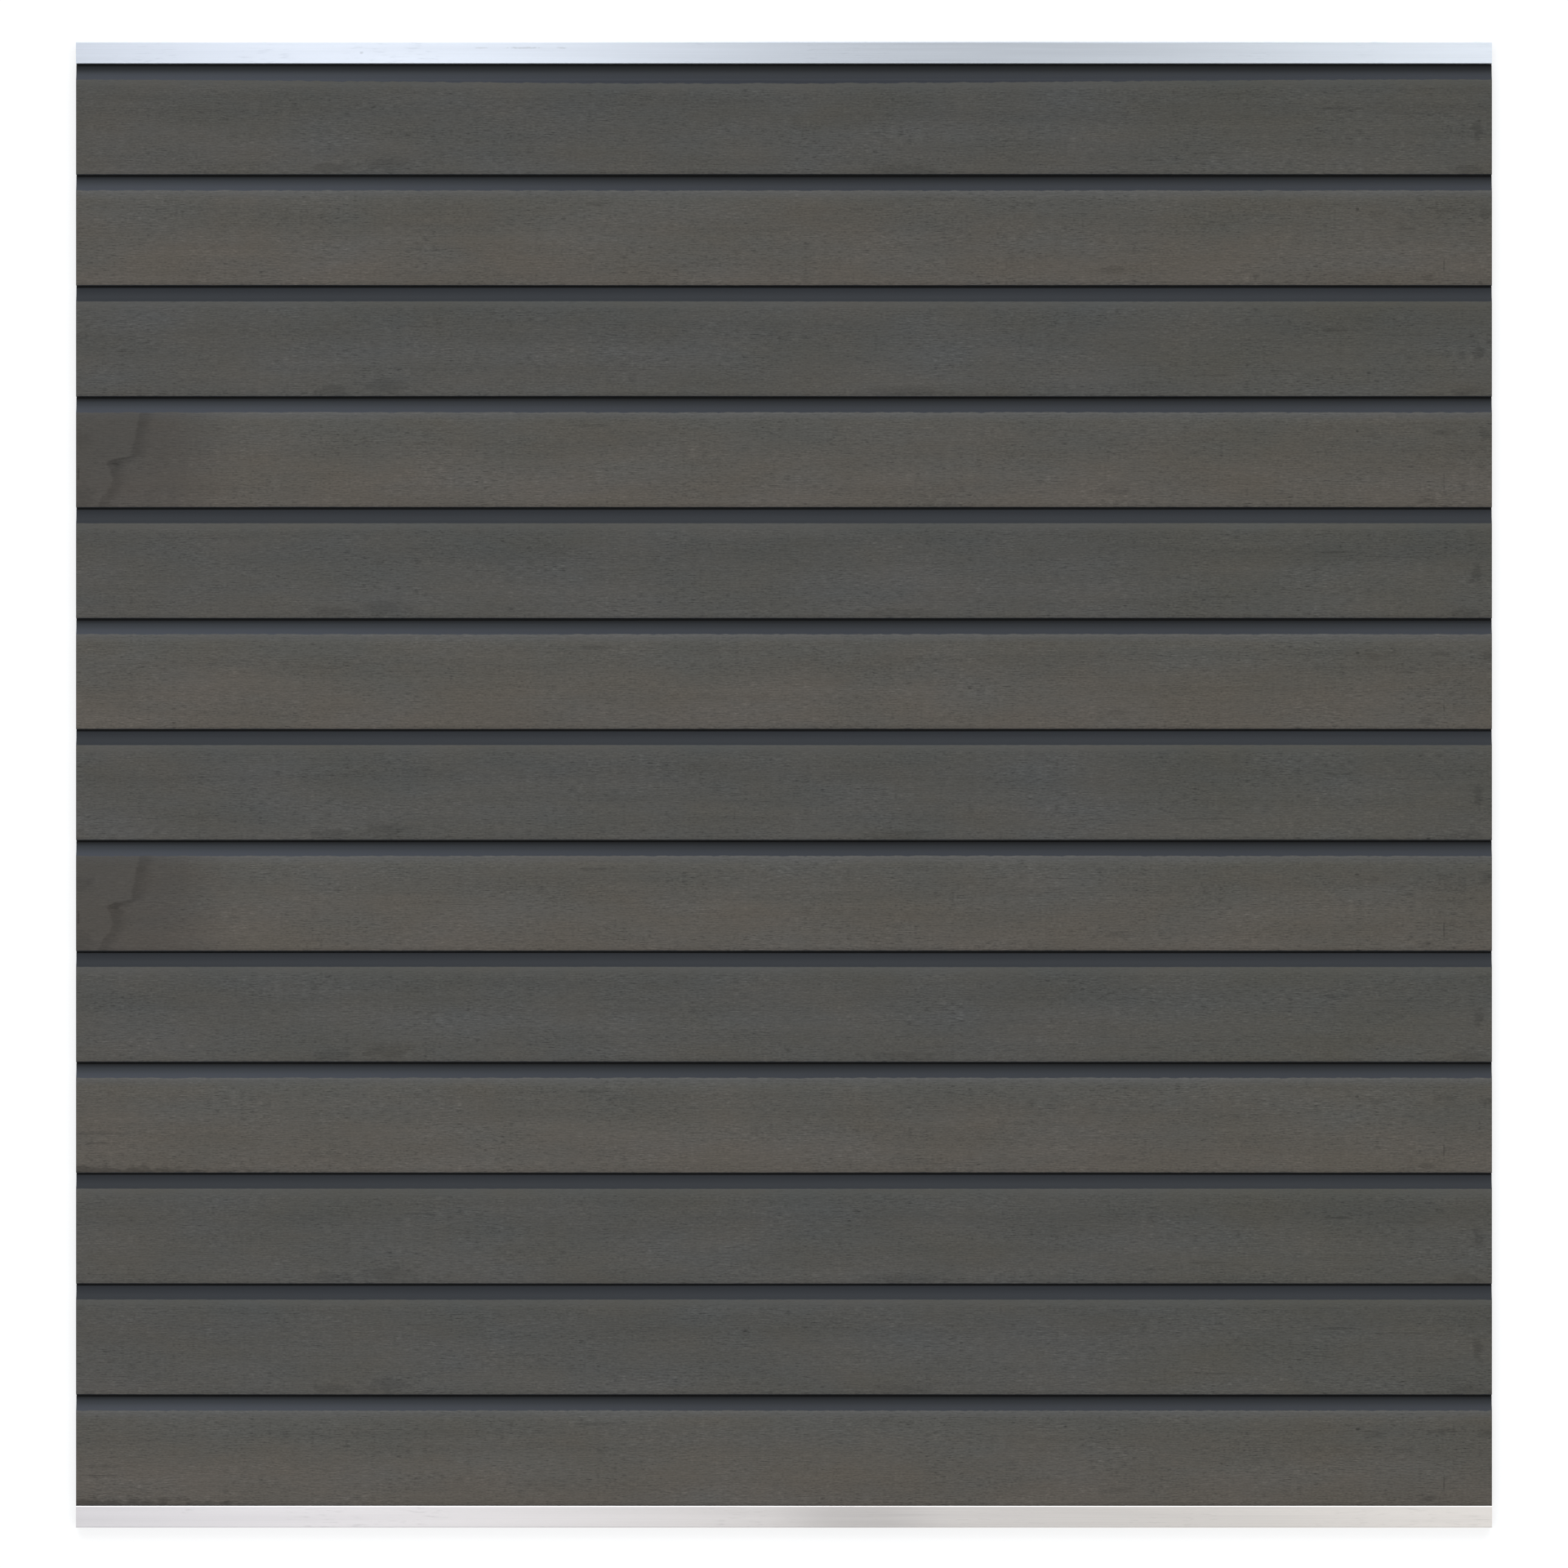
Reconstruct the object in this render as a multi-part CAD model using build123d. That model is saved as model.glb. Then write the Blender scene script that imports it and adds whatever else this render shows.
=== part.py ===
from build123d import *
import os

# A privacy fence panel: hollow tongue-and-groove boards of extruded wood-plastic composite,
# laid one on another between two aluminium rails. All pieces are straight extrusions.
#
# The panel is modelled lying on its back. X runs along the boards, Y runs up the fence as it
# stands in use, and Z points out of the front. The origin is the middle of the panel's
# footprint, on the floor. Lengths are in millimetres.

# Panel
board_count = 13
board_length = 1800.0

# Board, alike on its front and back
board_thickness = 21.0
board_cover = 141.0      # height of fence that one board fills
lip_bevel = 0.6          # along the outer edge of the lips beside the groove

# Coved shoulder between a board's face and its tongue, which shows as a smooth dark band
shoulder_depth = 5.0     # how far it falls back from the face
slope_rise = 8.5         # its slope, next to the face
shelf_rise = 10.0        # its flat shelf, next to the tongue
shoulder_round = 6.0     # soft edge where the face turns into the slope
cove_round = 28.0        # hollow curve from the slope to the shelf
shadow_gap = 2.4         # open joint between a shelf and the lips above it

# Tongue and groove
tongue_thickness = 8.0
tongue_reach = 10.0      # how far a tongue stands in the groove above, which rests on it
tongue_bevel = 1.5
groove_play = 0.4        # between the tongue and each side of the groove
groove_bevel = 0.8       # lead-in at the mouth of the groove

# Chambers inside a board
chamber_count = 4
outer_wall = 4.0
groove_floor = 4.0       # between the groove and the first chamber
rib = 3.5                # between two chambers
chamber_round = 2.0

# Aluminium rails, each one hollow extrusion
rail_height = 28.0
rail_proud = 1.5         # how far a rail stands out beyond each face of the boards
rail_wall = 1.8
rail_round = 1.2
spigot_gap = 1.0         # between the bottom rail's spigot and the floor of the groove
spigot_round = 0.8

# Heights up a board, from the underside of its lips
ledge_height = board_cover - shadow_gap
cove_height = ledge_height - shelf_rise
face_height = cove_height - slope_rise
tongue_top = board_cover + tongue_reach

# Distances out from the mid-plane
board_half = board_thickness / 2
neck_half = board_half - shoulder_depth
tongue_half = tongue_thickness / 2
groove_half = tongue_half + groove_play
rail_half = board_half + rail_proud

# Places of the stack in the panel
panel_height = 2 * rail_height + board_count * board_cover
panel_bottom = -panel_height / 2
boards_bottom = panel_bottom + rail_height
boards_top = boards_bottom + board_count * board_cover
mid_plane_height = rail_half


def symmetric_face(corners):
    """A closed face from the corners of its front half, mirrored about the mid-plane.

    Each corner is its height, its distance from the mid-plane and its radius."""
    mirrored = [(height, -out, radius) for height, out, radius in reversed(corners)]
    outline = corners + mirrored
    points = [(height, out) for height, out, _ in outline]
    radii = [radius for _, _, radius in outline]
    return make_face(FilletPolyline(*points, radius=radii, close=True))


def bar(section, length):
    """A straight bar along X from a section whose height is Y and whose depth is Z."""
    return extrude(Plane.YZ.offset(-length / 2) * section, amount=length)


def main_chambers():
    """The row of like chambers behind the flat faces, with a rib between neighbours."""
    first = tongue_reach + groove_floor
    last = face_height - rib
    height = (last - first - (chamber_count - 1) * rib) / chamber_count
    depth = board_thickness - 2 * outer_wall
    chamber = RectangleRounded(height, depth, chamber_round)
    pitch = height + rib
    return [Pos(first + height / 2 + i * pitch, 0) * chamber for i in range(chamber_count)]


def neck_chamber():
    """The last chamber, which narrows between the slopes of the two shoulders."""
    return symmetric_face([
        (face_height, board_half - outer_wall, chamber_round),
        (cove_height, neck_half - outer_wall, 0),
    ])


def groove_mouth():
    """The corners of a groove that takes a tongue, from its floor to the edge of its mouth."""
    return [
        (tongue_reach, groove_half, 0),
        (groove_bevel, groove_half, 0),
        (0, groove_half + groove_bevel, 0),
    ]


def board_section():
    """Lips and groove below, flat faces, coved shoulders, and the tongue on top."""
    section = symmetric_face([
        *groove_mouth(),
        (0, board_half - lip_bevel, 0),
        (lip_bevel, board_half, 0),
        (face_height, board_half, shoulder_round),
        (cove_height, neck_half, cove_round),
        (ledge_height, neck_half, 0),
        (ledge_height, tongue_half, 0),
        (tongue_top - tongue_bevel, tongue_half, 0),
        (tongue_top, tongue_half - tongue_bevel, 0),
    ])
    for chamber in main_chambers():
        section -= chamber
    return section - neck_chamber()


def bottom_rail_section():
    """A box whose hollow spigot stands in the groove of the lowest board."""
    spigot_top = rail_height + tongue_reach - spigot_gap
    shell = symmetric_face([
        (0, rail_half, rail_round),
        (rail_height, rail_half, rail_round),
        (rail_height, tongue_half, 0),
        (spigot_top, tongue_half, spigot_round),
    ])
    hollow = symmetric_face([
        (rail_wall, rail_half - rail_wall, 0),
        (rail_height - rail_wall, rail_half - rail_wall, 0),
        (rail_height - rail_wall, tongue_half - rail_wall, 0),
        (spigot_top - rail_wall, tongue_half - rail_wall, 0),
    ])
    return shell - hollow


def top_rail_section():
    """A box with two hollow legs, which straddle the tongue of the highest board."""
    shell = symmetric_face([
        *groove_mouth(),
        (0, rail_half, rail_round),
        (rail_height, rail_half, rail_round),
    ])
    hollow = symmetric_face([
        (tongue_reach + rail_wall, groove_half + rail_wall, 0),
        (rail_wall, groove_half + rail_wall, 0),
        (rail_wall, rail_half - rail_wall, 0),
        (rail_height - rail_wall, rail_half - rail_wall, 0),
    ])
    return shell - hollow


def place(piece, height):
    """Moves a piece so that its section starts at this height in the lying panel."""
    return Pos(0, height, mid_plane_height) * piece


os.makedirs("parts", exist_ok=True)

export_step(place(bar(bottom_rail_section(), board_length), panel_bottom), "parts/bottom_rail.step")
export_step(place(bar(top_rail_section(), board_length), boards_top), "parts/top_rail.step")

board = bar(board_section(), board_length)
for number in range(1, board_count + 1):
    lips = boards_bottom + (number - 1) * board_cover
    export_step(place(board, lips), f"parts/board_{number:02d}.step")
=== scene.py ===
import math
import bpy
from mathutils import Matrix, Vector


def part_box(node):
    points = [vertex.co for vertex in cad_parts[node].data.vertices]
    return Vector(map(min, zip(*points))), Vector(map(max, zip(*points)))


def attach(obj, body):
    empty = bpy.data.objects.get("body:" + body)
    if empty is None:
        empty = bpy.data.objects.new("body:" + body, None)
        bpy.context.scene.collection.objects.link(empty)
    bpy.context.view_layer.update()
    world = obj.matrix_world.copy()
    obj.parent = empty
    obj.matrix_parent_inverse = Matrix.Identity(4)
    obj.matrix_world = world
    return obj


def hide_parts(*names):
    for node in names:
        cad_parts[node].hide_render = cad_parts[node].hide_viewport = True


bl_info = {
    "name": "Composite fence panel",
    "version": (1, 0, 0),
    "blender": (4, 5, 0),
    "location": "3D View > Sidebar > Fence panel",
    "description": "Makes the brushed boards, the anodised rails and the studio of a fence panel",
    "category": "Object",
}

from typing import NamedTuple

import bpy

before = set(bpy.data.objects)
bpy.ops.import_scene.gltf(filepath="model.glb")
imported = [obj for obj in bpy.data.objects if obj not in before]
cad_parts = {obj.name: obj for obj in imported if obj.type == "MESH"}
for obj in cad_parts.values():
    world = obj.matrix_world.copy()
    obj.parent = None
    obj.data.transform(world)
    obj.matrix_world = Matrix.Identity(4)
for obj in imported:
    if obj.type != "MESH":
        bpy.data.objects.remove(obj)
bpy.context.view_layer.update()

MM = 0.001
BOARD_NODES = sorted(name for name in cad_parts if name.startswith("board_"))
TAUPE_BOARDS = {"board_01", "board_04", "board_06", "board_08", "board_10", "board_12"}
STAINED_BOARDS = {"board_06", "board_10"}
STREAKED_BOARDS = {"board_01", "board_04"}
TOP_BOARD = BOARD_NODES[-1]


def extent(node, axis):
    """How far a node of the frame reaches along X, Y or Z, as 0, 1 or 2."""
    low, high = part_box(node)
    return high[axis] - low[axis]


def colour(red, green, blue):
    """A colour as a screen shows it, each part from 0 to 255, as the linear numbers of a shader."""
    def part(value):
        share = value / 255
        return share / 12.92 if share <= 0.04045 else ((share + 0.055) / 1.055) ** 2.4

    return (part(red), part(green), part(blue))


FIRST_LOW, FIRST_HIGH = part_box("board_01")
BOARD_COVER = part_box("board_02")[0].y - FIRST_LOW.y
BOARD_LENGTH = extent("board_01", 0)
BOARD_THICKNESS = extent("board_01", 2)
TONGUE_REACH = extent("board_01", 1) - BOARD_COVER
RAIL_HEIGHT = extent("top_rail", 1)
RAIL_DEPTH = extent("top_rail", 2)
MID_PLANE = (FIRST_LOW.z + FIRST_HIGH.z) / 2
LEFT_END, RIGHT_END = FIRST_LOW.x, FIRST_HIGH.x

# Stock: how it is rounded, shaded and told apart
BROAD_ROUND = 4 * MM               # a corner rounder than this gets the further facets
WELD = 0.01 * MM
SHARP_ANGLE = math.radians(28)     # an edge sharper than this isn't shaded smooth
END_FACING = 0.9                   # share of a face's normal along the piece, on its ends
WAVES_ACROSS, WAVES_UP = 1.6, 1.3  # waves of a board's wander in a metre, out and up the panel
SEED_STEP = 3.7                    # between the wander of one board and the next

# Finishes
DEPTH_SHARE = 0.73      # of a piece's depth, added to its height where a grain is drawn
MARK_CORE = 0.35        # share of a mark's reach that is evenly dark
MARK_RAGGEDNESS = 1.5

# Studio
FLOOR_REACH = 40.0
BACKDROP_RISE = 8.0
PAPER_SHADE = (0.55, 0.55, 0.55, 1.0)
PAPER_GLOW = 0.62
KEY_COLOUR = (0.93, 0.97, 1.0)
KEY_SPREAD = math.radians(40)
KEY_SLANT = math.radians(-45)
SKY_COLOUR = (0.96, 0.98, 1.0, 1.0)
SOFTBOX_LENGTH = 4.6
SOFTBOX_HEIGHT = 4.6
SOFTBOXES = (("Left", -0.75, 1.3), ("Right", 1.6, 1.2))  # each its place along X and its width
SENSOR_WIDTH = 36.0


def length_property(name, description, default):
    """A length in metres that a user may change."""
    return bpy.props.FloatProperty(
        name=name, description=description, default=default, unit="LENGTH", precision=4)


def colour_property(name, description, default):
    """A colour that a user may change."""
    return bpy.props.FloatVectorProperty(
        name=name, description=description, default=default, subtype="COLOR", min=0, max=1)


class FencePanelSizes(bpy.types.PropertyGroup):
    """Sizes of the boards' and rails' sections, in metres."""
    length: length_property("Length", "Length of the boards and rails", BOARD_LENGTH)
    cover: length_property("Cover", "Height of fence that one board fills", BOARD_COVER)
    thickness: length_property("Thickness", "From a board's front to its back", BOARD_THICKNESS)
    lip_bevel: length_property("Lip bevel", "Bevel along the outer edge of the lips", 0.6 * MM)
    shoulder_depth: length_property("Shoulder depth", "How far the shoulder falls back", 5 * MM)
    slope_rise: length_property("Slope rise", "Height of the shoulder's slope", 8.5 * MM)
    shelf_rise: length_property("Shelf rise", "Height of the shoulder's flat shelf", 10 * MM)
    shoulder_round: length_property("Shoulder round", "Radius from face to slope", 6 * MM)
    cove_round: length_property("Cove round", "Radius from slope to shelf", 28 * MM)
    shadow_gap: length_property("Shadow gap", "Open joint above a shelf", 2.4 * MM)
    tongue_thickness: length_property("Tongue thickness", "Thickness of the tongue", 8 * MM)
    tongue_reach: length_property("Tongue reach", "Its depth in the groove above", TONGUE_REACH)
    tongue_bevel: length_property("Tongue bevel", "Bevel at the tongue's tip", 1.5 * MM)
    groove_play: length_property("Groove play", "From the tongue to the groove's side", 0.4 * MM)
    groove_bevel: length_property("Groove bevel", "Lead-in at the groove's mouth", 0.8 * MM)
    groove_floor: length_property("Groove floor", "From the groove to the first chamber", 4 * MM)
    outer_wall: length_property("Outer wall", "Wall between chambers and faces", 4 * MM)
    rib: length_property("Rib", "Wall between two chambers", 3.5 * MM)
    chamber_round: length_property("Chamber round", "Inner corners of a chamber", 2 * MM)
    edge_round: length_property("Edge round", "Softness of every other edge", 0.35 * MM)
    chambers: bpy.props.IntProperty(
        name="Chambers", description="Chambers behind the face", default=4)
    rail_height: length_property("Rail height", "Height of a rail", RAIL_HEIGHT)
    rail_depth: length_property("Rail depth", "From a rail's front to its back", RAIL_DEPTH)
    rail_wall: length_property("Rail wall", "Wall of the rails", 1.8 * MM)
    rail_round: length_property("Rail round", "Outer edges of the rails", 1.2 * MM)
    spigot_gap: length_property("Spigot gap", "From the spigot to the groove's floor", 1 * MM)
    spigot_round: length_property("Spigot round", "Edges of the spigot's tip", 0.8 * MM)
    span: length_property("Span", "Length of one stretch of the mesh", 60 * MM)
    board_bow: length_property("Board bow", "How much a board wanders from straight", 1 * MM)
    corner_facets: bpy.props.IntProperty(
        name="Corner facets", description="Facets of a small rounded corner", default=4)
    curve_facets: bpy.props.IntProperty(
        name="Curve facets", description="Further facets of a broad rounded corner", default=8)


class FencePanelFinish(bpy.types.PropertyGroup):
    """Colours of the boards and rails."""
    grey: colour_property("Grey", "Brushed face of a grey board", colour(87.4, 85.6, 82.2))
    taupe: colour_property("Taupe", "Brushed face of a taupe board", colour(94.5, 90.5, 85))
    skin: colour_property("Skin", "Smooth skin as it leaves the die", colour(47, 50, 55))
    # Lit and shaded skin are one skin with painted light and painted shade, mixed down a shaded
    # shoulder
    lit_skin: colour_property("Bright skin", "Shaded skin beside the face", colour(55, 58, 65))
    shaded_skin: colour_property("Dull skin", "Shaded skin near the joint", colour(42, 45, 49))
    core: colour_property("Core", "Sawn ends of the boards", colour(70, 68, 66))
    metal: colour_property("Metal", "Anodised aluminium", colour(222, 224, 228))


class FencePanelStudio(bpy.types.PropertyGroup):
    """Camera, lamps and floor."""
    lens: bpy.props.FloatProperty(
        name="Lens", description="Focal length", default=200, unit="CAMERA", precision=1)
    view_width: length_property("View width", "Width of the photograph at the panel", 1.993)
    view_shift: length_property("View shift", "How far above its middle the view is", 0.8 * MM)
    sky: bpy.props.FloatProperty(
        name="Sky", description="Strength of the even light", default=0.6)
    key: bpy.props.FloatProperty(
        name="Key", description="Strength of the broad key light", default=0.8)
    overhead: bpy.props.FloatProperty(
        name="Overhead", description="Radiance of the overhead softboxes", default=0.65)


class Value:
    """An output in a graph of nodes. Sums and products of numbers add Math nodes to the graph."""

    def __init__(self, graph, socket):
        self.graph = graph
        self.socket = socket

    def math(self, operation, *others):
        """What a Math node makes of this value and the others."""
        inputs = dict(enumerate((self, *others)))
        node = self.graph.add("ShaderNodeMath", {"operation": operation}, inputs)
        return Value(self.graph, node.outputs[0])

    def __add__(self, other):
        return self.math("ADD", other)

    def __mul__(self, other):
        return self.math("MULTIPLY", other)

    def __sub__(self, other):
        return self.math("SUBTRACT", other)

    def __rsub__(self, other):
        return self * -1.0 + other

    def __truediv__(self, other):
        return self.math("DIVIDE", other)

    __radd__ = __add__
    __rmul__ = __mul__


class Graph:
    """The nodes of one material or of one geometry tree."""

    def __init__(self, tree):
        self.tree = tree

    def add(self, kind, settings=None, inputs=None):
        """Adds a node, with its settings first and then a value or a link for each socket given."""
        node = self.tree.nodes.new(kind)
        for name, setting in (settings or {}).items():
            setattr(node, name, setting)
        for name, given in (inputs or {}).items():
            self.feed(node.inputs[name], given)
        return node

    def feed(self, socket, given):
        """Links a value or an output to this input, or sets the input to plain numbers."""
        source = given.socket if isinstance(given, Value) else given
        if isinstance(source, bpy.types.NodeSocket):
            self.tree.links.new(source, socket)
        else:
            socket.default_value = source

    def value(self, kind, settings=None, inputs=None):
        """The number that comes out of a new node."""
        return Value(self, self.add(kind, settings, inputs).outputs[0])

    def point(self, x=0.0, y=0.0, z=0.0):
        """A vector from its three parts."""
        return self.add("ShaderNodeCombineXYZ", None, {0: x, 1: y, 2: z}).outputs[0]

    def split(self, vector):
        """The three parts of a vector."""
        parts = self.add("ShaderNodeSeparateXYZ", None, {0: vector}).outputs
        return [Value(self, part) for part in parts]

    def noise(self, vector, detail=2.0, roughness=0.5, dimensions="3D"):
        """Noise whose grain is one unit of the vector, about 0.5 on average."""
        inputs = {"Vector": vector, "Scale": 1.0, "Detail": detail, "Roughness": roughness}
        return self.value("ShaderNodeTexNoise", {"noise_dimensions": dimensions}, inputs)

    def fade(self, value, low, high):
        """Rises smoothly from 0 where the value is low to 1 where it is high."""
        inputs = {"Value": value, "From Min": low, "From Max": high}
        return self.value("ShaderNodeMapRange", {"interpolation_type": "SMOOTHSTEP"}, inputs)

    def fall(self, value, low, high):
        """Falls smoothly from 1 where the value is low to 0 where it is high."""
        return self.fade(value, high, low)

    def near(self, value, middle, close, far):
        """1 up to the close distance from the middle, and falls smoothly to 0 at the far one."""
        return self.fall((value - middle).math("ABSOLUTE"), close, far)


class Finish(Graph):
    """A material in the making, with the object's own coordinates at hand."""

    def __init__(self, name):
        self.material = bpy.data.materials.new(name)
        self.material.use_nodes = True
        super().__init__(self.material.node_tree)
        self.tree.nodes.clear()
        place = self.add("ShaderNodeTexCoord").outputs["Object"]
        self.x, self.y, self.z = self.split(place)

    def attribute(self, name):
        """A number that the mesh holds at each of its points."""
        node = self.add("ShaderNodeAttribute", {"attribute_name": name})
        return Value(self, node.outputs["Fac"])

    def grain(self, along, across, seed=0.0, detail=1.0, roughness=0.5):
        """Noise drawn out along the piece, with the size of its grain in metres.

        It runs on over the edges, because depth counts as a part of height."""
        height = self.y + self.z * DEPTH_SHARE
        vector = self.point(self.x / along + seed, height / across)
        return self.noise(vector, detail, roughness, "2D")

    def mix(self, share, first, second, blend="MIX"):
        """A colour between two, or one laid over the other."""
        settings = {"data_type": "RGBA", "blend_type": blend}
        inputs = {0: share, 6: self.shade(first), 7: self.shade(second)}
        return self.add("ShaderNodeMix", settings, inputs).outputs[2]

    def shade(self, given):
        """A colour socket as it is, and three numbers with their alpha."""
        return given if isinstance(given, bpy.types.NodeSocket) else (*given, 1.0)

    def scale(self, tone, factor):
        """A colour made lighter or darker by a value."""
        settings = {"operation": "SCALE"}
        return self.add("ShaderNodeVectorMath", settings, {0: tone, "Scale": factor}).outputs[0]

    def bump(self, height, distance):
        """A normal for a fine relief, with the distance that a height of 1 stands for."""
        return self.add("ShaderNodeBump", None, {"Height": height, "Distance": distance}).outputs[0]

    def finish(self, **inputs):
        """Ends the material in one shader with these inputs, written with _ for a space."""
        named = {name.replace("_", " "): given for name, given in inputs.items()}
        shader = self.add("ShaderNodeBsdfPrincipled", None, named)
        self.add("ShaderNodeOutputMaterial", None, {0: shader.outputs[0]})
        return self.material


class FaceManner(NamedTuple):
    """How the colour of a brushed face varies, each as a share."""
    drift: float        # cooler from its foot to its top
    swing: float        # cooler and warmer by turns
    cast: float         # bluer and yellower by turns
    yellowing: float    # yellower towards the right end
    crest_calm: float   # texture that fades out near the top
    crest_highlight: float   # painted highlight near the top


GREY_MANNER = FaceManner(0.3, 1.3, 0.08, 0.22, 0.7, 0.09)
TAUPE_MANNER = FaceManner(0.9, 1.6, 0.06, 0.14, 0.3, 0.12)
WARM_TINT = (1.035, 1.0, 0.974)
COOL_TINT = (0.945, 1.005, 1.026)
# The painted bluish sheen on the crest of a taupe face
CREST_SHEEN = colour(88, 88, 89)
DRIED = colour(92, 91, 86)
DAMP = colour(95, 89, 85)
TIDE_MARK = -872 * MM       # where the tide mark meets the foot of a board
SHORT_SHADOW = 6.5 * MM     # how far a joint's shadow reaches down the skin of a taupe board
LONG_SHADOW = 12 * MM       # the same below the top rail
BRUSH_SAG = 5.2 * MM        # how much lower the highest board's brushing starts at mid-length

# Marks on the faces: middle along the board, height up it, reach along and up, all in
# millimetres, and how much darker the mark is.
TAUPE_MARKS = (
    (729, 97, 3.4, 2.4, 0.45),
    (752, 91, 18, 6, 0.13),
    (838, 95, 20, 5, 0.16),
    (893, 92, 12, 9, 0.18),
    (802, 86, 10, 1.2, 0.16),
    (791, 72, 17, 1.4, 0.20),
    (839, 27, 1.2, 15, 0.30),
    (817, 9, 15, 5, 0.20),
    (-240, 104, 30, 3, 0.18),
    (420, 20, 26, 6, 0.14),
)
GREY_MARKS = (
    (-575, 8, 34, 9, 0.17),
    (-505, 13, 40, 12, 0.17),
    (-468, 89, 26, 1.6, 0.14),
    (150, 7, 60, 8, 0.14),
    (470, 18, 16, 1.5, 0.20),
    (541, 27, 46, 1.6, 0.18),
    (702, 84, 34, 2.2, 0.24),
    (790, 78, 60, 1.5, 0.14),
    (882, 57, 9, 16, 0.22),
    (868, 7, 28, 7, 0.16),
)
STAIN_MARKS = (
    (-850, 57, 18, 5, 0.16),
    (-838, 60, 16, 7, 0.12),
    (-845, 51, 10, 7, 0.12),
    (-897, 43, 2.0, 10, 0.34),
    (-892, 86, 16, 14, 0.12),
    (-892, 12, 22, 22, 0.14),
)
STREAK_MARKS = (
    (-905, 0, 260, 12, 0.34),
    (-872, 38, 30, 1.8, 0.24),
    (-866, 50, 44, 3, 0.14),
)
RAIL_MARKS = (
    (-385, 20, 11, 1.3, 0.16),
    (-330, 20, 26, 1.4, 0.20),
    (-282, 20, 8, 1.2, 0.16),
    (-537, 14, 3, 2, 0.20),
)


def darkened(finish, tone, up, ragged, marks):
    """The colour with these marks on it, which have ragged edges."""
    shade = 1.0
    for along, height, reach, reach_up, depth in marks:
        across = (finish.x - along * MM) / (reach * MM)
        upward = (up - height * MM) / (reach_up * MM)
        distance = (across * across + upward * upward).math("SQRT") + ragged * MARK_RAGGEDNESS
        shade = shade - finish.fall(distance, MARK_CORE, 1.0) * depth
    return finish.scale(tone, shade)


def tinted(base, shares):
    """A colour with its red, green and blue multiplied by these shares."""
    return tuple(part * share for part, share in zip(base, shares))


def clouded(finish, base, share_up, mottle, cloud, manner):
    """The colour of a brushed face under its texture: cloudy, and browner towards its foot."""
    left = finish.fall(finish.x, LEFT_END, -550 * MM)
    right = finish.fade(finish.x, 350 * MM, 600 * MM)
    cool = (share_up - 0.5) * manner.drift + (mottle - 0.5) * manner.swing + 0.5
    cool = cool - left * 0.15 - right * 0.07
    tone = finish.mix(cool, tinted(base, WARM_TINT), tinted(base, COOL_TINT))
    blue = (mottle + cloud) * 0.5 - right * manner.yellowing
    veil = finish.mix(blue, (1.0, 1.0, 1.0 - manner.cast), (1.0, 1.0, 1.0 + manner.cast))
    return finish.mix(1.0, tone, veil, "MULTIPLY")


def brushed_face(finish, base, up, face_top, hair, warm):
    """The colour of a brushed face and its relief, with hairlines, streaks, dashes and pits."""
    manner = TAUPE_MANNER if warm else GREY_MANNER
    mottle = finish.grain(150 * MM, 55 * MM, seed=3.1, detail=3.0, roughness=0.6)
    cloud = finish.grain(190 * MM, 60 * MM, seed=8.7, detail=2.0)
    patch = finish.grain(80 * MM, 26 * MM, seed=27.0)
    band = finish.grain(520 * MM, 11 * MM, seed=61.0, detail=0.0) - 0.5
    streak = finish.grain(13 * MM, 1.1 * MM, seed=5.3) - 0.5
    dash = finish.grain(11 * MM, 1.2 * MM, seed=21.0, detail=0.0)
    speckle = finish.grain(3.6 * MM, 1.5 * MM, seed=41.0, detail=0.0)
    dark_dash = finish.fall(dash, 0.20, 0.32)
    light_dash = finish.fade(dash, 0.68, 0.80)
    pit = finish.fall(speckle, 0.08, 0.20) * finish.fall(cloud, 0.42, 0.62)

    # Parts of the face's height
    # The foot is where the face gets painted shade towards its lower edge
    foot = finish.fall(up, 0.5 * MM, 7 * MM)
    lower = finish.fall(up, 40 * MM, 62 * MM)
    upper_band = finish.near(up, 88 * MM, 8 * MM, 30 * MM)
    crest = finish.fade(up, face_top - 12 * MM, face_top - 2 * MM)
    below_skin = finish.fall(up, face_top - 1 * MM, face_top + 1 * MM)

    texture = streak * 0.54 + hair * 0.22 + (speckle - 0.5) * 0.31 - pit * 0.16
    texture = texture - dark_dash * finish.fade(mottle, 0.34, 0.60) * 0.26
    texture = texture + light_dash * finish.fade(cloud, 0.40, 0.64) * 0.24
    strength = (1.0 - crest * manner.crest_calm) * (finish.fade(patch, 0.32, 0.68) * 0.35 + 0.82)
    lightness = 1.0 + texture * strength + (cloud - 0.5) * 0.15 + band * 0.09
    # Painted highlight: the face is paler near its crest
    lightness = lightness + crest * manner.crest_highlight - foot * 0.14
    lightness = lightness + lower * 0.02 - upper_band * 0.045 - finish.x * 0.042
    tone = clouded(finish, base, up / face_top, mottle, cloud, manner)
    if warm:
        # Painted highlight: a thin pale line along the face's top edge
        brink_highlight = finish.fade(up, face_top - 3 * MM, face_top - 1 * MM)
        lightness = lightness + brink_highlight * 0.10
        # Painted sheen: the crest is mixed towards a bluish grey
        tone = finish.mix(crest * 0.45, tone, CREST_SHEEN)
    relief = (streak + hair - dark_dash * 0.8) * below_skin
    return finish.scale(tone, lightness), relief


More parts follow.
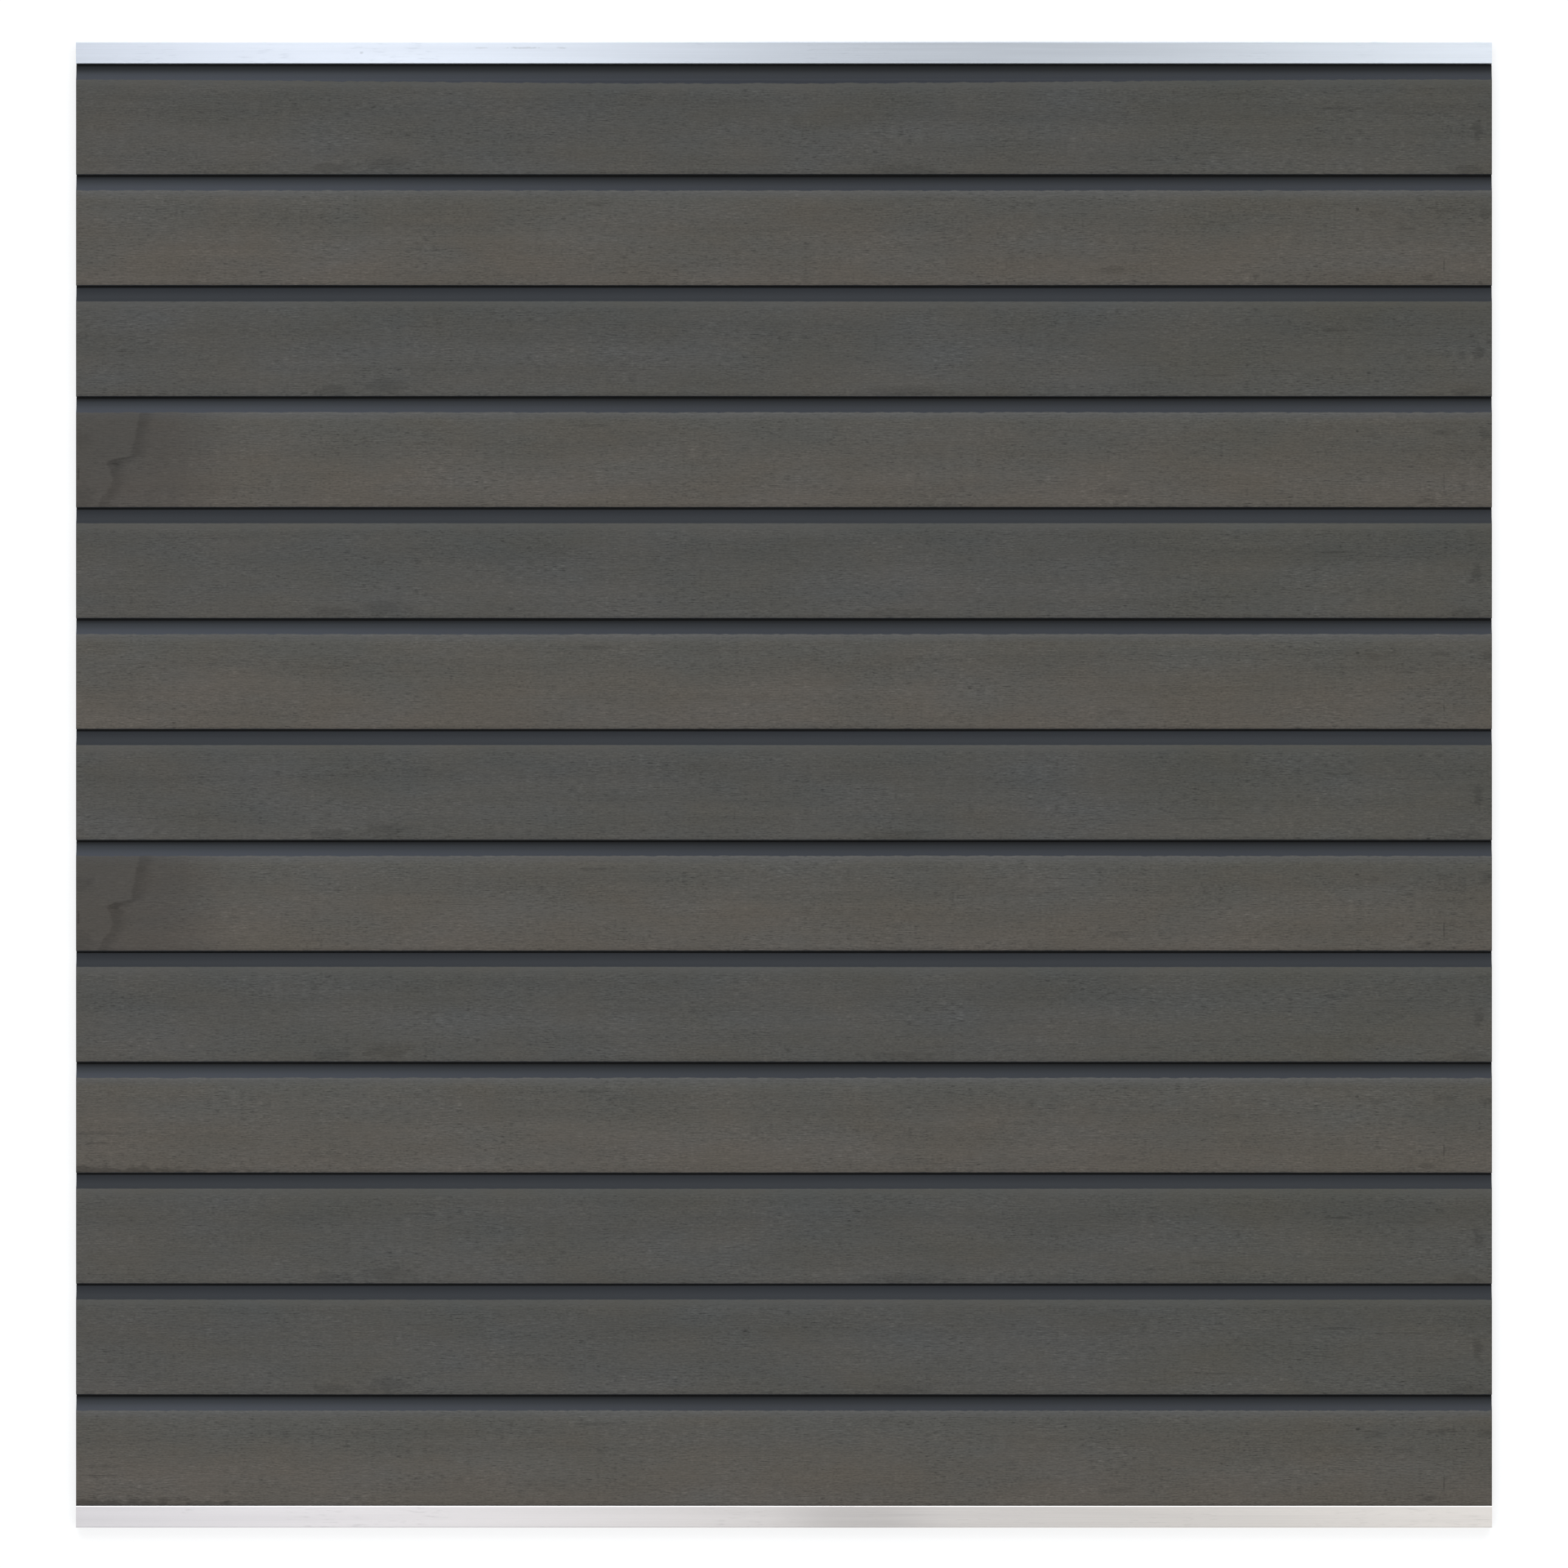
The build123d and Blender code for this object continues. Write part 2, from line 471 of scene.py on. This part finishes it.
def skin_tone(finish, up, face_top, ledge, hair, colours, shaded):
    """The colour of the smooth skin, with painted shade that darkens it from the face's edge to the
    joint.

    Shaded is how far the joint's shadow reaches down a shaded skin, or 0 for a flat one."""
    tone = colours.skin
    lightness = 1.0 + hair * 0.22
    if shaded:
        # Painted shade: darker from the face's edge towards the joint, and on the lip below the
        # face
        skin_shade = finish.fade(up, face_top, ledge - 5 * MM) + finish.fall(up, 2 * MM, 6 * MM)
        tone = finish.mix(skin_shade, colours.lit_skin, colours.shaded_skin)
        # Painted reflection: the skin is lighter towards its ends, most at the left end
        left = finish.fall(finish.x, LEFT_END, 100 * MM)
        right = finish.fade(finish.x, 500 * MM, RIGHT_END)
        shadow = finish.fade(up, ledge - shaded, ledge - 0.5 * MM)
        lightness = (lightness + left * 0.62 + right * 0.15) * (1.0 - shadow * 0.6)
    # Painted shade: the skin is darkened inside the joint
    joint = finish.fade(up, ledge - 1.0 * MM, ledge + 0.2 * MM)
    return finish.scale(tone, lightness * (1.0 - joint * 0.93))


def stained(finish, face, up, ragged):
    """The face with a tide mark at its darker left end: two dried lobes with a soft dark rim."""
    step = finish.fade(up, 58 * MM, 66 * MM)
    lobe = finish.near(up, 32 * MM, 0.0, 28 * MM)
    edge = up * 0.2 + step * (28 * MM) + lobe * (11 * MM) + ragged * (8 * MM) + TIDE_MARK
    past = finish.x - edge
    face = finish.mix(finish.fall(past, -3 * MM, 3 * MM) * 0.25, face, DRIED)
    damp = finish.fall(finish.x, -800 * MM, -680 * MM)
    face = finish.mix(damp * 0.3, face, DAMP)
    rim = finish.fade(past, -2 * MM, 3 * MM) * finish.fall(past, 4 * MM, 26 * MM)
    return finish.scale(face, 1.0 - damp * 0.20 - rim * 0.17)


def board_material(
        name, sizes, colours, warm=False, shaded=0.0, sag=0.0, stain=False, streaks=False):
    """Wood-plastic composite, with smooth slate skin wherever the brush didn't reach."""
    finish = Finish(name)
    up = finish.attribute("up")
    out = finish.attribute("out").math("ABSOLUTE")
    ledge = sizes.cover - sizes.shadow_gap
    face_top = ledge - sizes.shelf_rise - sizes.slope_rise
    ragged = finish.grain(13 * MM, 6 * MM, seed=91.0, detail=2.0) - 0.5
    hair = finish.grain(130 * MM, 1.5 * MM, seed=11.0) - 0.5

    if sag:
        # The brushing starts lowest a little left of the middle, and as high as ever at the ends
        lowest, reach = -60 * MM, 880 * MM
        face_top = face_top - finish.near(finish.x, lowest, 0.0, reach) * sag
    base = colours.taupe if warm else colours.grey
    face, relief = brushed_face(finish, base, up, face_top, hair, warm)
    marks = TAUPE_MARKS if warm else GREY_MARKS
    if stain:
        face = stained(finish, face, up, ragged)
        marks = marks + STAIN_MARKS
    if streaks:
        marks = marks + STREAK_MARKS
    face = darkened(finish, face, up, ragged, marks)
    skin = skin_tone(finish, up, face_top, ledge, hair, colours, shaded)

    brush_end = up + ragged * (3 * MM if shaded else 1 * MM)
    below_shoulder = finish.fall(brush_end, face_top, face_top + 1.2 * MM)
    above_lip = finish.fade(up + ragged * MM, 0.2 * MM, 0.9 * MM)
    half = sizes.thickness / 2
    on_face = finish.fade(out, half - 0.9 * MM, half - 0.5 * MM)
    brushed = below_shoulder * above_lip * on_face
    return finish.finish(
        Base_Color=finish.mix(brushed, skin, face),
        Roughness=brushed * 0.28 + 0.46 + hair * 0.12,
        Specular_IOR_Level=0.2,
        Normal=finish.bump(relief, 0.10 * MM),
    )


def sawn_material(name, base):
    """The sawn end of a board: pale wood flour in the plastic, with fine vertical saw marks."""
    finish = Finish(name)
    fleck = 0.9 * MM
    flour = finish.point(finish.y / fleck, finish.z / fleck, 4.0)
    flour = finish.noise(flour, detail=3.0, roughness=0.7)
    marks = finish.noise(finish.point(finish.y / (0.7 * MM), finish.z / (25 * MM), 9.0))
    lightness = 0.8 + (flour - 0.5) * 0.9 + (marks - 0.5) * 0.3
    return finish.finish(
        Base_Color=finish.scale(base, lightness),
        Roughness=0.85,
        Normal=finish.bump(flour + marks, 0.2 * MM),
    )


def anodised_material(name, left_tone, right_tone, swing, edge, dull=0.0, marks=()):
    """Satin anodised aluminium, drawn lengthways and faintly scuffed, with a painted reflection
    that waves along its length.

    The swing is how strong the painted reflection is; the edge is the height of a painted highlight
    line and its gain; dull is the loss at one place."""
    finish = Finish(name)
    drawn = finish.grain(260 * MM, 0.9 * MM, seed=1.0, detail=2.0, roughness=0.6) - 0.5
    broad = finish.grain(420 * MM, 11 * MM, seed=2.0) - 0.5
    scuff = finish.grain(24 * MM, 2.2 * MM, seed=3.0, detail=2.0, roughness=0.6)
    handled = finish.grain(140 * MM, 60 * MM, seed=5.0, detail=0.0)
    worn = finish.fade(scuff, 0.58, 0.72) * finish.fade(handled, 0.5, 0.62)
    ragged = finish.grain(5 * MM, 1.5 * MM, seed=7.0, detail=2.0) - 0.5
    # Where the painted reflection is brightest, where the rail is darker, and the reflection's wave
    # length
    reflection_peak = -530 * MM
    dull_place = 95 * MM
    wave_length = 1500 * MM
    reflection_wave = ((finish.x - reflection_peak) * (2 * math.pi / wave_length)).math("COSINE")
    up = finish.attribute("up")
    edge_up, gain = edge
    # Painted highlight: a bright line along one edge of the rail
    edge_highlight = finish.near(up, edge_up, 0.8 * MM, 2.4 * MM)
    lightness = 1.0 + reflection_wave * swing + drawn * 0.12 + broad * 0.10 - worn * 0.06 + edge_highlight * gain
    if dull:
        place = finish.x + drawn * (60 * MM)
        lightness = lightness - finish.near(place, dull_place, 20 * MM, 130 * MM) * dull
    tone = finish.mix(finish.fade(finish.x, LEFT_END, 700 * MM), left_tone, right_tone)
    metal = darkened(finish, finish.scale(tone, lightness), up, ragged, marks)
    return finish.finish(
        Base_Color=metal,
        Metallic=1.0,
        Roughness=0.32 + drawn * 0.14 + worn * 0.14,
        Normal=finish.bump(drawn + worn * 0.3, 0.03 * MM),
    )


def group_input(tree, name, kind, default=None):
    """Adds a named input to a geometry tree and returns its identifier."""
    socket = tree.interface.new_socket(name, in_out="INPUT", socket_type=kind)
    if default is not None:
        socket.default_value = default
    return socket.identifier


def rounded_end(graph, given):
    """The section with its corners rounded, filled, and marked with its height and distance out."""
    corners = graph.add(
        "GeometryNodeInputNamedAttribute", {"data_type": "FLOAT"}, {"Name": "rounding"})
    radius = corners.outputs["Attribute"]
    broad = Value(graph, radius).math("GREATER_THAN", BROAD_ROUND)
    loops = graph.add("GeometryNodeMeshToCurve", None, {"Mesh": given["Section"]})
    rounded = graph.add("GeometryNodeFilletCurve", {"mode": "POLY"}, {
        "Curve": loops.outputs[0],
        "Count": broad * given["Curve facets"] + given["Corner facets"],
        "Radius": radius,
        "Limit Radius": True,
    })
    filled = graph.add(
        "GeometryNodeFillCurve", {"mode": "TRIANGLES"}, {"Curve": rounded.outputs[0]})
    flat_x, flat_y, _ = graph.split(graph.add("GeometryNodeInputPosition").outputs[0])
    marked = filled.outputs[0]
    settings = {"data_type": "FLOAT", "domain": "POINT"}
    for name, part in (("up", flat_x), ("out", flat_y)):
        inputs = {"Geometry": marked, "Name": name, "Value": part}
        marked = graph.add("GeometryNodeStoreNamedAttribute", settings, inputs).outputs[0]
    return marked


def extruded(graph, given, end):
    """The end drawn out along Z in equal spans, and closed."""
    first = graph.add("GeometryNodeRepeatInput")
    last = graph.add("GeometryNodeRepeatOutput")
    first.pair_with_output(last)
    last.repeat_items.new("BOOLEAN", "Front")
    graph.feed(first.inputs["Iterations"], given["Spans"])
    graph.feed(first.inputs["Geometry"], end)
    graph.feed(first.inputs["Front"], True)
    span = graph.add("GeometryNodeExtrudeMesh", {"mode": "FACES"}, {
        "Mesh": first.outputs["Geometry"],
        "Selection": first.outputs["Front"],
        "Offset": graph.point(z=given["Length"] / given["Spans"]),
        "Offset Scale": 1.0,
        "Individual": False,
    })
    graph.feed(last.inputs["Geometry"], span.outputs["Mesh"])
    graph.feed(last.inputs["Front"], span.outputs["Top"])

    start = graph.add("GeometryNodeFlipFaces", None, {"Mesh": end})
    joined = graph.add("GeometryNodeJoinGeometry")
    graph.feed(joined.inputs[0], start.outputs[0])
    graph.feed(joined.inputs[0], last.outputs["Geometry"])
    closed = graph.add("GeometryNodeMergeByDistance", None, {
        "Geometry": joined.outputs[0], "Distance": WELD,
    })
    return closed.outputs[0]


def laid_down(graph, given, stock):
    """The stock turned into its place in the panel, wandering a little from straight."""
    up, out, along = graph.split(graph.add("GeometryNodeInputPosition").outputs[0])
    x = along - given["Length"] / 2.0
    seed = given["Seed"]
    lift = (graph.noise(graph.point(x * WAVES_ACROSS, seed, 0.0), detail=1.0) - 0.5) * given["Bow"]
    shift = (graph.noise(graph.point(x * WAVES_UP, seed, 7.0), detail=1.0) - 0.5) * given["Bow"]
    placed = graph.add("GeometryNodeSetPosition", None, {
        "Geometry": stock,
        "Position": graph.point(x, up + given["Height"] + shift, out + given["Mid-plane"] + lift),
    })
    return placed.outputs[0]


def dressed(graph, given, stock):
    """The stock as plain mesh, with one material on its skin and one on its ends."""
    facing = graph.split(graph.add("GeometryNodeInputNormal").outputs[0])[0].math("ABSOLUTE")
    realized = graph.add("GeometryNodeRealizeInstances", None, {"Geometry": stock})
    skinned = graph.add("GeometryNodeSetMaterial", None, {
        "Geometry": realized.outputs[0], "Material": given["Skin"],
    })
    sawn = graph.add("GeometryNodeSetMaterial", None, {
        "Geometry": skinned.outputs[0],
        "Selection": facing.math("GREATER_THAN", END_FACING),
        "Material": given["Ends"],
    })
    return sawn.outputs[0]


def stock_tree():
    """A geometry tree that draws a section out into a straight piece of stock, and its inputs."""
    tree = bpy.data.node_groups.new("Extruded stock", "GeometryNodeTree")
    names = {
        "Section": group_input(tree, "Section", "NodeSocketGeometry"),
        "Length": group_input(tree, "Length", "NodeSocketFloat", BOARD_LENGTH),
        "Spans": group_input(tree, "Spans", "NodeSocketInt", 30),
        "Corner facets": group_input(tree, "Corner facets", "NodeSocketInt", 4),
        "Curve facets": group_input(tree, "Curve facets", "NodeSocketInt", 8),
        "Height": group_input(tree, "Height", "NodeSocketFloat", 0.0),
        "Mid-plane": group_input(tree, "Mid-plane", "NodeSocketFloat", MID_PLANE),
        "Bow": group_input(tree, "Bow", "NodeSocketFloat", 0.0),
        "Seed": group_input(tree, "Seed", "NodeSocketFloat", 0.0),
        "Skin": group_input(tree, "Skin", "NodeSocketMaterial"),
        "Ends": group_input(tree, "Ends", "NodeSocketMaterial"),
    }
    tree.interface.new_socket("Stock", in_out="OUTPUT", socket_type="NodeSocketGeometry")
    graph = Graph(tree)
    group = graph.add("NodeGroupInput").outputs
    given = {name: Value(graph, group[name]) for name in names}
    end = rounded_end(graph, given)
    stock = dressed(graph, given, laid_down(graph, given, extruded(graph, given, end)))
    graph.feed(graph.add("NodeGroupOutput").inputs[0], stock)
    return tree, names


def mirrored(corners):
    """A closed section from its front half; a corner is its height, distance out and radius."""
    return corners + [(up, -out, radius) for up, out, radius in reversed(corners)]


def groove_mouth(sizes):
    """The corners of a groove that takes a tongue, from its floor to the edge of its mouth."""
    half = sizes.tongue_thickness / 2 + sizes.groove_play
    soft = sizes.edge_round
    return [
        (sizes.tongue_reach, half, soft),
        (sizes.groove_bevel, half, soft),
        (0.0, half + sizes.groove_bevel, soft),
    ]


def board_loops(sizes):
    """The outline of a board and its chambers."""
    half = sizes.thickness / 2
    ledge = sizes.cover - sizes.shadow_gap
    cove = ledge - sizes.shelf_rise
    face_top = cove - sizes.slope_rise
    neck = half - sizes.shoulder_depth
    tongue_top = sizes.cover + sizes.tongue_reach
    tongue_half = sizes.tongue_thickness / 2
    soft = sizes.edge_round
    outline = mirrored(groove_mouth(sizes) + [
        (0.0, half - sizes.lip_bevel, soft),
        (sizes.lip_bevel, half, soft),
        (face_top, half, sizes.shoulder_round),
        (cove, neck, sizes.cove_round),
        (ledge, neck, soft),
        (ledge, tongue_half, soft),
        (tongue_top - sizes.tongue_bevel, tongue_half, soft),
        (tongue_top, tongue_half - sizes.tongue_bevel, soft),
    ])
    loops = [outline]

    first = sizes.tongue_reach + sizes.groove_floor
    last = face_top - sizes.rib
    height = (last - first - (sizes.chambers - 1) * sizes.rib) / sizes.chambers
    inner = half - sizes.outer_wall
    for number in range(sizes.chambers):
        low = first + number * (height + sizes.rib)
        loops.append(mirrored([
            (low, inner, sizes.chamber_round),
            (low + height, inner, sizes.chamber_round),
        ]))
    loops.append(mirrored([
        (face_top, inner, sizes.chamber_round),
        (cove, neck - sizes.outer_wall, soft),
    ]))
    return loops


def bottom_rail_loops(sizes):
    """A box with a hollow spigot, and its one chamber."""
    half = sizes.rail_depth / 2
    wall = sizes.rail_wall
    top = sizes.rail_height
    tip = top + sizes.tongue_reach - sizes.spigot_gap
    neck = sizes.tongue_thickness / 2
    soft = sizes.edge_round
    shell = mirrored([
        (0.0, half, sizes.rail_round),
        (top, half, sizes.rail_round),
        (top, neck, soft),
        (tip, neck, sizes.spigot_round),
    ])
    hollow = mirrored([
        (wall, half - wall, soft),
        (top - wall, half - wall, soft),
        (top - wall, neck - wall, soft),
        (tip - wall, neck - wall, soft),
    ])
    return [shell, hollow]


def top_rail_loops(sizes):
    """A box with two hollow legs astride the highest tongue, and its one chamber."""
    half = sizes.rail_depth / 2
    wall = sizes.rail_wall
    top = sizes.rail_height
    groove = sizes.tongue_thickness / 2 + sizes.groove_play
    soft = sizes.edge_round
    shell = mirrored(groove_mouth(sizes) + [
        (0.0, half, sizes.rail_round),
        (top, half, sizes.rail_round),
    ])
    hollow = mirrored([
        (sizes.tongue_reach + wall, groove + wall, soft),
        (wall, groove + wall, soft),
        (wall, half - wall, soft),
        (top - wall, half - wall, soft),
    ])
    return [shell, hollow]


def section_object(name, loops):
    """An object that holds a section's loops as edges, with the rounding of each corner."""
    corners = [corner for loop in loops for corner in loop]
    edges = []
    start = 0
    for loop in loops:
        edges += [(start + i, start + (i + 1) % len(loop)) for i in range(len(loop))]
        start += len(loop)
    mesh = bpy.data.meshes.new(name)
    mesh.from_pydata([(up, out, 0.0) for up, out, _ in corners], edges, [])
    rounding = mesh.attributes.new("rounding", "FLOAT", "POINT")
    rounding.data.foreach_set("value", [radius for _, _, radius in corners])
    piece = bpy.data.objects.new(name, mesh)
    bpy.context.scene.collection.objects.link(piece)
    return piece


def bake(piece):
    """Applies the piece's modifiers to its mesh and takes them off."""
    evaluated = piece.evaluated_get(bpy.context.evaluated_depsgraph_get())
    mesh = bpy.data.meshes.new_from_object(evaluated)
    mesh.name = piece.name
    piece.modifiers.clear()
    piece.data = mesh
    return mesh


def draw_out(node, loops, stock, sizes, skin, ends, bow, seed):
    """Makes the piece that stands for a node: its section drawn out along the panel, in place."""
    tree, names = stock
    piece = section_object(node + "_finished", loops)
    modifier = piece.modifiers.new("Stock", "NODES")
    modifier.node_group = tree
    settings = {
        "Length": sizes.length,
        "Spans": max(1, round(sizes.length / sizes.span)),
        "Corner facets": sizes.corner_facets,
        "Curve facets": sizes.curve_facets,
        "Height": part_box(node)[0].y,
        "Mid-plane": MID_PLANE,
        "Bow": bow,
        "Seed": seed,
        "Skin": skin,
        "Ends": ends,
    }
    for name, setting in settings.items():
        modifier[names[name]] = setting
    mesh = bake(piece)
    if not mesh.polygons:
        raise RuntimeError(f"{piece.name} came out empty")
    mesh.shade_smooth()
    mesh.set_sharp_from_angle(angle=SHARP_ANGLE)
    even = piece.modifiers.new("Even normals", "WEIGHTED_NORMAL")
    even.keep_sharp = True
    bake(piece)
    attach(piece, "root")
    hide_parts(node)
    return piece


class FENCE_OT_boards(bpy.types.Operator):
    """Make the boards, with their brushed faces and sawn ends"""
    bl_idname = "fence.boards"
    bl_label = "Boards"

    def execute(self, context):
        sizes = context.scene.fence_sizes
        colours = context.scene.fence_finish
        stock = stock_tree()
        loops = board_loops(sizes)
        ends = sawn_material("Sawn composite", colours.core)
        grey = board_material("Grey composite", sizes, colours)
        # The top board and the taupe boards carry painted shadow down their skin; the other grey
        # boards don't
        grey_top = board_material(
            "Grey composite shaded", sizes, colours, shaded=LONG_SHADOW, sag=BRUSH_SAG)
        taupe = {"warm": True, "shaded": SHORT_SHADOW}
        plain = board_material("Taupe composite", sizes, colours, **taupe)
        tide_marked = board_material("Taupe composite stained", sizes, colours, **taupe, stain=True)
        streaked = board_material("Taupe composite streaked", sizes, colours, **taupe, streaks=True)
        finishes = {TOP_BOARD: grey_top}
        finishes.update(dict.fromkeys(TAUPE_BOARDS, plain))
        finishes.update(dict.fromkeys(STAINED_BOARDS, tide_marked))
        finishes.update(dict.fromkeys(STREAKED_BOARDS, streaked))
        for number, node in enumerate(BOARD_NODES):
            skin = finishes.get(node, grey)
            seed = SEED_STEP * number
            piece = draw_out(node, loops, stock, sizes, skin, ends, sizes.board_bow, seed)
        return {"FINISHED"}


class FENCE_OT_rails(bpy.types.Operator):
    """Make the aluminium start rail and end rail"""
    bl_idname = "fence.rails"
    bl_label = "Rails"

    def execute(self, context):
        sizes = context.scene.fence_sizes
        metal = context.scene.fence_finish.metal
        stock = stock_tree()
        # Swing sets each rail's painted reflection; edge sets its painted highlight line
        cool = anodised_material(
            "Anodised aluminium cool",
            left_tone=tinted(metal, (0.97, 1.01, 1.08)),
            right_tone=tinted(metal, (0.95, 0.99, 1.03)),
            swing=0.16,
            edge=(0.0, 0.05),
            marks=RAIL_MARKS,
        )
        warm = anodised_material(
            "Anodised aluminium warm",
            left_tone=tinted(metal, (1.06, 1.0, 0.98)),
            right_tone=tinted(metal, (1.08, 1.0, 0.91)),
            swing=0.04,
            edge=(sizes.rail_height, 0.2),
            dull=0.14,
        )
        for node, loops, skin in (
            ("bottom_rail", bottom_rail_loops(sizes), warm),
            ("top_rail", top_rail_loops(sizes), cool),
        ):
            piece = draw_out(node, loops, stock, sizes, skin, skin, 0.0, 0.0)
        return {"FINISHED"}


def softbox(name, x, width, radiance):
    """A rectangular lamp above the panel that faces down, with the brightness of its face."""
    lamp = bpy.data.lights.new(name, "AREA")
    lamp.shape = "RECTANGLE"
    lamp.size = width
    lamp.size_y = SOFTBOX_LENGTH
    lamp.energy = radiance * math.pi * width * SOFTBOX_LENGTH
    box = bpy.data.objects.new(name, lamp)
    bpy.context.scene.collection.objects.link(box)
    box.visible_camera = False
    box.location = (x, 0.0, SOFTBOX_HEIGHT)


def stage_sheet(name, points, faces, paper):
    """A sheet of paper that belongs to the studio."""
    mesh = bpy.data.meshes.new(name)
    mesh.from_pydata(points, [], faces)
    mesh.materials.append(paper)
    sheet = bpy.data.objects.new(name, mesh)
    bpy.context.scene.collection.objects.link(sheet)


def paper_material():
    """White paper that stays white to the camera and in reflections, and keeps a shadow."""
    finish = Finish("White paper")
    rays = finish.add("ShaderNodeLightPath").outputs
    seen = Value(finish, rays["Is Camera Ray"]) + Value(finish, rays["Is Glossy Ray"])
    seen = (seen + Value(finish, rays["Is Transmission Ray"])).math("MINIMUM", 1.0)
    paper = finish.add("ShaderNodeBsdfDiffuse", None, {"Color": PAPER_SHADE}).outputs[0]
    glow = finish.add("ShaderNodeEmission", None, {"Strength": PAPER_GLOW}).outputs[0]
    lit = finish.add("ShaderNodeAddShader", None, {0: paper, 1: glow}).outputs[0]
    sheet = finish.add("ShaderNodeMixShader", None, {0: seen, 1: paper, 2: lit}).outputs[0]
    finish.add("ShaderNodeOutputMaterial", None, {0: sheet})
    return finish.material


class FENCE_OT_studio(bpy.types.Operator):
    """Make the floor, the lamps, the world and the camera over the panel"""
    bl_idname = "fence.studio"
    bl_label = "Studio"

    def execute(self, context):
        scene = context.scene
        studio = scene.fence_studio

        reach = FLOOR_REACH
        rim = ((-reach, -reach), (reach, -reach), (reach, reach), (-reach, reach))
        corners = [(x, y, z) for z in (0.0, BACKDROP_RISE) for x, y in rim]
        walls = [((i + 1) % 4, i, i + 4, (i + 1) % 4 + 4) for i in range(4)]
        paper = paper_material()
        stage_sheet("floor", corners[:4], [(0, 1, 2, 3)], paper)
        stage_sheet("backdrop", corners, walls, paper)

        sun = bpy.data.lights.new("Key", "SUN")
        sun.energy = studio.key
        sun.angle = KEY_SPREAD
        sun.color = KEY_COLOUR
        key = bpy.data.objects.new("Key", sun)
        key.rotation_euler = (KEY_SLANT, 0.0, 0.0)
        scene.collection.objects.link(key)
        for name, x, width in SOFTBOXES:
            softbox(name, x, width, studio.overhead)

        world = bpy.data.worlds.new("Even light")
        world.use_nodes = True
        sky = world.node_tree.nodes["Background"]
        sky.inputs["Color"].default_value = SKY_COLOUR
        sky.inputs["Strength"].default_value = studio.sky
        scene.world = world

        camera = bpy.data.objects.new("Camera", bpy.data.cameras.new("Camera"))
        camera.data.lens = studio.lens
        camera.data.sensor_width = SENSOR_WIDTH
        distance = studio.view_width * studio.lens / SENSOR_WIDTH
        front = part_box("top_rail")[1].z
        camera.location = (0.0, studio.view_shift, front + distance)
        scene.collection.objects.link(camera)
        scene.camera = camera
        scene.view_settings.view_transform = "Standard"
        return {"FINISHED"}


class FENCE_PT_panel(bpy.types.Panel):
    """The sizes and colours of the fence panel, and the steps that make it"""
    bl_idname = "FENCE_PT_panel"
    bl_label = "Fence panel"
    bl_space_type = "VIEW_3D"
    bl_region_type = "UI"
    bl_category = "Fence panel"

    def draw(self, context):
        for title, group in (
            ("Sizes", context.scene.fence_sizes),
            ("Finish", context.scene.fence_finish),
            ("Studio", context.scene.fence_studio),
        ):
            box = self.layout.box()
            box.label(text=title)
            for name in group.__annotations__:
                box.prop(group, name)
        for step in STEPS:
            self.layout.operator(step.bl_idname)


STEPS = (FENCE_OT_boards, FENCE_OT_rails, FENCE_OT_studio)
GROUPS = {
    "fence_sizes": FencePanelSizes,
    "fence_finish": FencePanelFinish,
    "fence_studio": FencePanelStudio,
}


def register():
    """Adds the classes, and the three groups of settings to the scene."""
    for group in GROUPS.values():
        bpy.utils.register_class(group)
    for name, group in GROUPS.items():
        setattr(bpy.types.Scene, name, bpy.props.PointerProperty(type=group))
    for step in STEPS:
        bpy.utils.register_class(step)
    bpy.utils.register_class(FENCE_PT_panel)


def unregister():
    """Takes the settings and the classes away again."""
    bpy.utils.unregister_class(FENCE_PT_panel)
    for step in reversed(STEPS):
        bpy.utils.unregister_class(step)
    for name, group in GROUPS.items():
        delattr(bpy.types.Scene, name)
        bpy.utils.unregister_class(group)


def main():
    """Makes the studio and the pieces."""
    register()
    bpy.ops.fence.studio()
    bpy.ops.fence.boards()
    bpy.ops.fence.rails()


if __name__ == "__main__":
    main()
